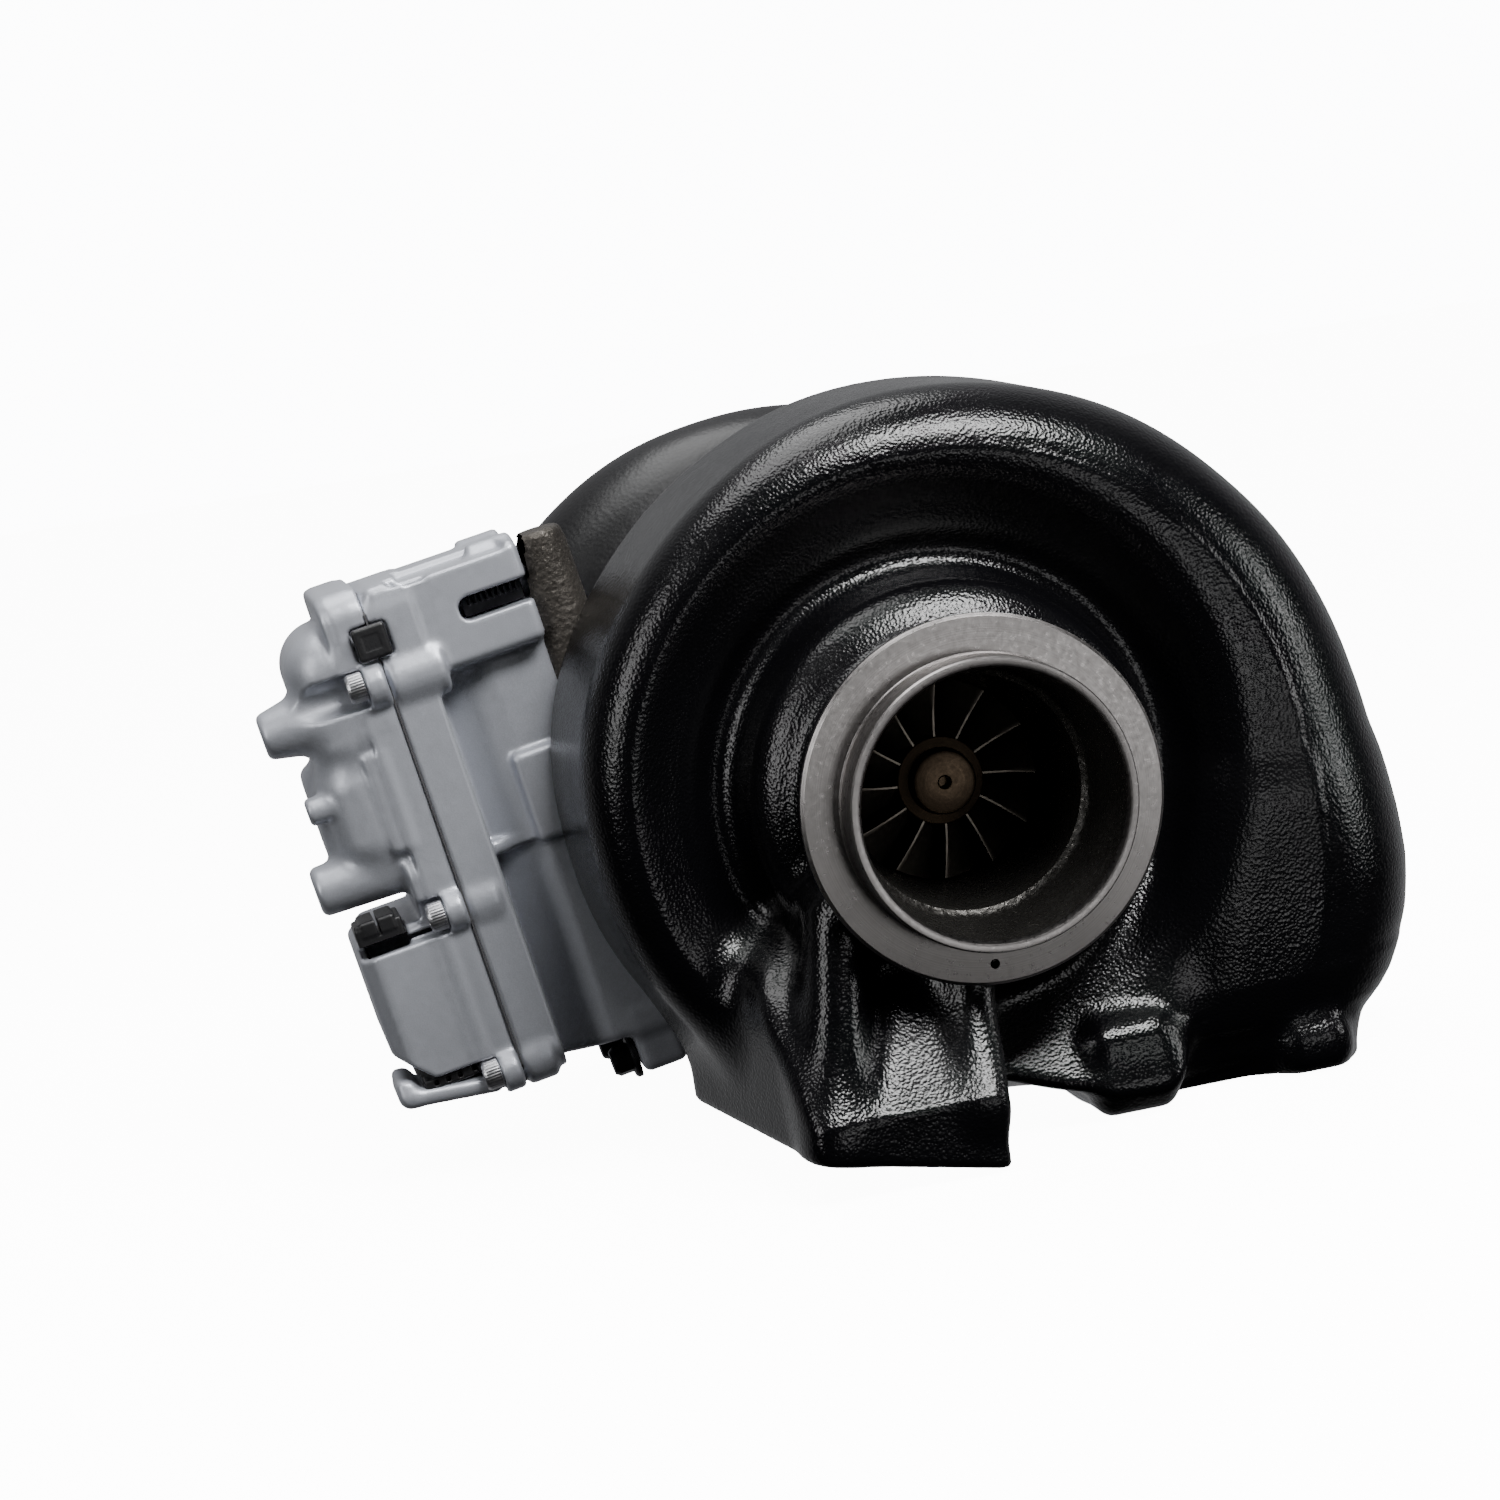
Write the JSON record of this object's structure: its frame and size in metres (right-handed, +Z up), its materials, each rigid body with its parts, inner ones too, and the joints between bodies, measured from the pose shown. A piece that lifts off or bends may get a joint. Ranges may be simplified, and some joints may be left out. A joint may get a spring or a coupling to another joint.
{
  "type": "variable geometry turbocharger",
  "caption": "Turbocharger with a black exhaust scroll and outlet flange, an inlet foot, a sliding nozzle ring driven by a geared electric actuator, and an air compressor.",
  "frame": {"origin": "bottom centre of the bounding box, on the plane of the turbine inlet foot", "axes": "+Z up from the inlet foot, +Y along the rotor from the exhaust outlet to the air inlet, +X away from the actuator"},
  "size_m": [0.3584, 0.288, 0.2352],
  "materials": {
    "black_cast": "gloss black paint over coarse casting",
    "black_alu": "satin black paint over fine casting",
    "raw_iron": "raw casting",
    "silver_cast": "satin silver paint on die casting",
    "machined_alu": "machined",
    "heat_alloy": "heat tinted",
    "steel": "ground",
    "bronze": "machined bronze",
    "zinc": "zinc plated",
    "black_steel": "black oxide",
    "black_plastic": "moulded",
    "gasket": "moulded seal",
    "board": "solder mask"
  },
  "bodies": {
    "housing": {"turbine_housing": "black_cast", "compressor_housing": "black_alu", "bearing_housing": "raw_iron", "actuator_gear_housing": "silver_cast", "actuator_cover": "silver_cast", "compressor_backplate": "machined_alu", "nozzle_shroud_plate": "heat_alloy", "heat_shield": "steel", "idler_pin": "steel", "motor_stator": "steel", "seal_ring_turbine": "steel", "seal_ring_compressor": "steel", "turbine_clamp_band": "steel", "compressor_clamp_band": "steel", "thrust_bearing": "bronze", "turbine_clamp_bolt": "zinc", "turbine_clamp_nut": "zinc", "compressor_clamp_bolt": "zinc", "compressor_clamp_nut": "zinc", "cover_screw_1": "zinc", "cover_screw_2": "zinc", "cover_screw_3": "zinc", "cover_screw_4": "zinc", "cover_screw_5": "zinc", "cover_screw_6": "zinc", "actuator_bolt_1": "black_steel", "actuator_bolt_2": "black_steel", "harness_connector": "black_plastic", "motor_connector": "black_plastic", "vent_plug": "black_plastic", "oil_inlet_plug": "black_plastic", "speed_sensor": "black_plastic", "cover_gasket": "gasket", "circuit_board": "board"},
    "rotor": {"turbine_wheel_and_shaft": "heat_alloy", "compressor_wheel": "machined_alu", "compressor_nut": "black_steel", "thrust_collar": "steel", "oil_slinger": "steel"},
    "turbine_bearing": {"journal_bearing_turbine": "bronze"},
    "compressor_bearing": {"journal_bearing_compressor": "bronze"},
    "nozzle_lever": {"cross_shaft": "steel", "nozzle_yoke": "steel", "sector_gear": "steel"},
    "nozzle": {"nozzle_ring": "heat_alloy", "push_rod_left": "steel", "push_rod_right": "steel"},
    "idler": {"idler_gear": "black_plastic"},
    "motor": {"motor_rotor": "steel"}
  },
  "joints": [
    {"name": "rotor_spin", "type": "hinge", "parent": "housing", "child": "rotor", "pos_m": [0.02603, 0, 0.11], "axis": [0, -1, 0], "continuous": true},
    {"name": "turbine_bearing_float", "type": "hinge", "parent": "housing", "child": "turbine_bearing", "pos_m": [0.02603, -0.023, 0.11], "axis": [0, -1, 0], "continuous": true},
    {"name": "compressor_bearing_float", "type": "hinge", "parent": "housing", "child": "compressor_bearing", "pos_m": [0.02603, 0.015, 0.11], "axis": [0, -1, 0], "continuous": true},
    {"name": "nozzle_lever_swing", "type": "hinge", "parent": "housing", "child": "nozzle_lever", "pos_m": [0.03176, 0.005, 0.07649], "axis": [0.9857, 0, 0.1685], "range_deg": [0, 15]},
    {"name": "nozzle_slide", "type": "slide", "parent": "housing", "child": "nozzle", "axis": [0, -1, 0], "range_m": [0, 0.0089]},
    {"name": "idler_turn", "type": "hinge", "parent": "housing", "child": "idler", "pos_m": [-0.10312, 0.005, 0.09401], "axis": [0.9857, 0, 0.1685], "range_deg": [-65.5, 0]},
    {"name": "motor_turn", "type": "hinge", "parent": "housing", "child": "motor", "pos_m": [-0.12857, 0.005, 0.12416], "axis": [0.9857, 0, 0.1685], "range_deg": [0, 304]}
  ],
  "couplings": [
    {"joint": "nozzle_slide", "follows": "nozzle_lever_swing", "m_per_rad": 0.033903},
    {"joint": "idler_turn", "follows": "nozzle_lever_swing", "ratio": -4.3333},
    {"joint": "motor_turn", "follows": "nozzle_lever_swing", "ratio": 20.222}
  ]
}
